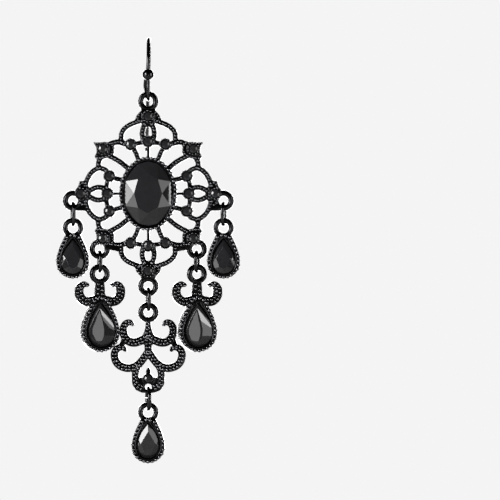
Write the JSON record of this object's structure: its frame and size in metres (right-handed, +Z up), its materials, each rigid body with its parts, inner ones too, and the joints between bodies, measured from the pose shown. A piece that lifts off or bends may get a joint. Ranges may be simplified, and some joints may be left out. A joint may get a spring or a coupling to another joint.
{
  "type": "chandelier earring",
  "caption": "Black chandelier earring on an ear wire: pierced oval medallion with small stones, pear drops on links, and a pierced scroll pendant.",
  "frame": {"origin": "inside top of the ear wire's arch, where it hangs in the ear", "axes": "+X across the earring to the viewer's right, +Y to the back, +Z up"},
  "size_m": [0.0386, 0.0121, 0.0896],
  "materials": {
    "black_plated_metal": "glossy black plating on cast metal",
    "black_wire": "glossy black plating on drawn wire",
    "black_glass": "polished opaque black facets"
  },
  "bodies": {
    "hook": {"ear_hook": "black_wire"},
    "drop": {"medallion_frame": "black_plated_metal", "oval_stone": "black_glass", "stone_top_mid": "black_glass", "stone_top_near": "black_glass", "stone_top_far": "black_glass", "stone_top_tip": "black_glass", "stone_bottom_mid": "black_glass", "stone_bottom_near": "black_glass", "stone_bottom_far": "black_glass", "stone_bottom_tip": "black_glass", "stone_left_mid": "black_glass", "stone_left_near": "black_glass", "stone_left_far": "black_glass", "stone_left_tip": "black_glass", "stone_right_mid": "black_glass", "stone_right_near": "black_glass", "stone_right_far": "black_glass", "stone_right_tip": "black_glass", "stone_upper_left_corner": "black_glass", "stone_lower_left_corner": "black_glass", "stone_upper_right_corner": "black_glass", "stone_lower_right_corner": "black_glass", "link_left": "black_wire", "drop_left": "black_plated_metal", "pear_stone_left": "black_glass", "link_lower_left": "black_wire", "scroll_drop_left": "black_plated_metal", "scroll_stone_left": "black_glass", "link_right": "black_wire", "drop_right": "black_plated_metal", "pear_stone_right": "black_glass", "link_lower_right": "black_wire", "scroll_drop_right": "black_plated_metal", "scroll_stone_right": "black_glass", "link_centre": "black_wire", "scroll_pendant": "black_plated_metal", "stone_pendant": "black_glass", "jump_ring_bottom": "black_wire", "drop_bottom": "black_plated_metal", "pear_stone_bottom": "black_glass"}
  },
  "joints": [
    {"name": "medallion_swing", "type": "hinge", "parent": "hook", "child": "drop", "pos_m": [0, -0.0042, -0.01245], "axis": [0, 1, 0], "range_deg": [-60, 60]}
  ]
}
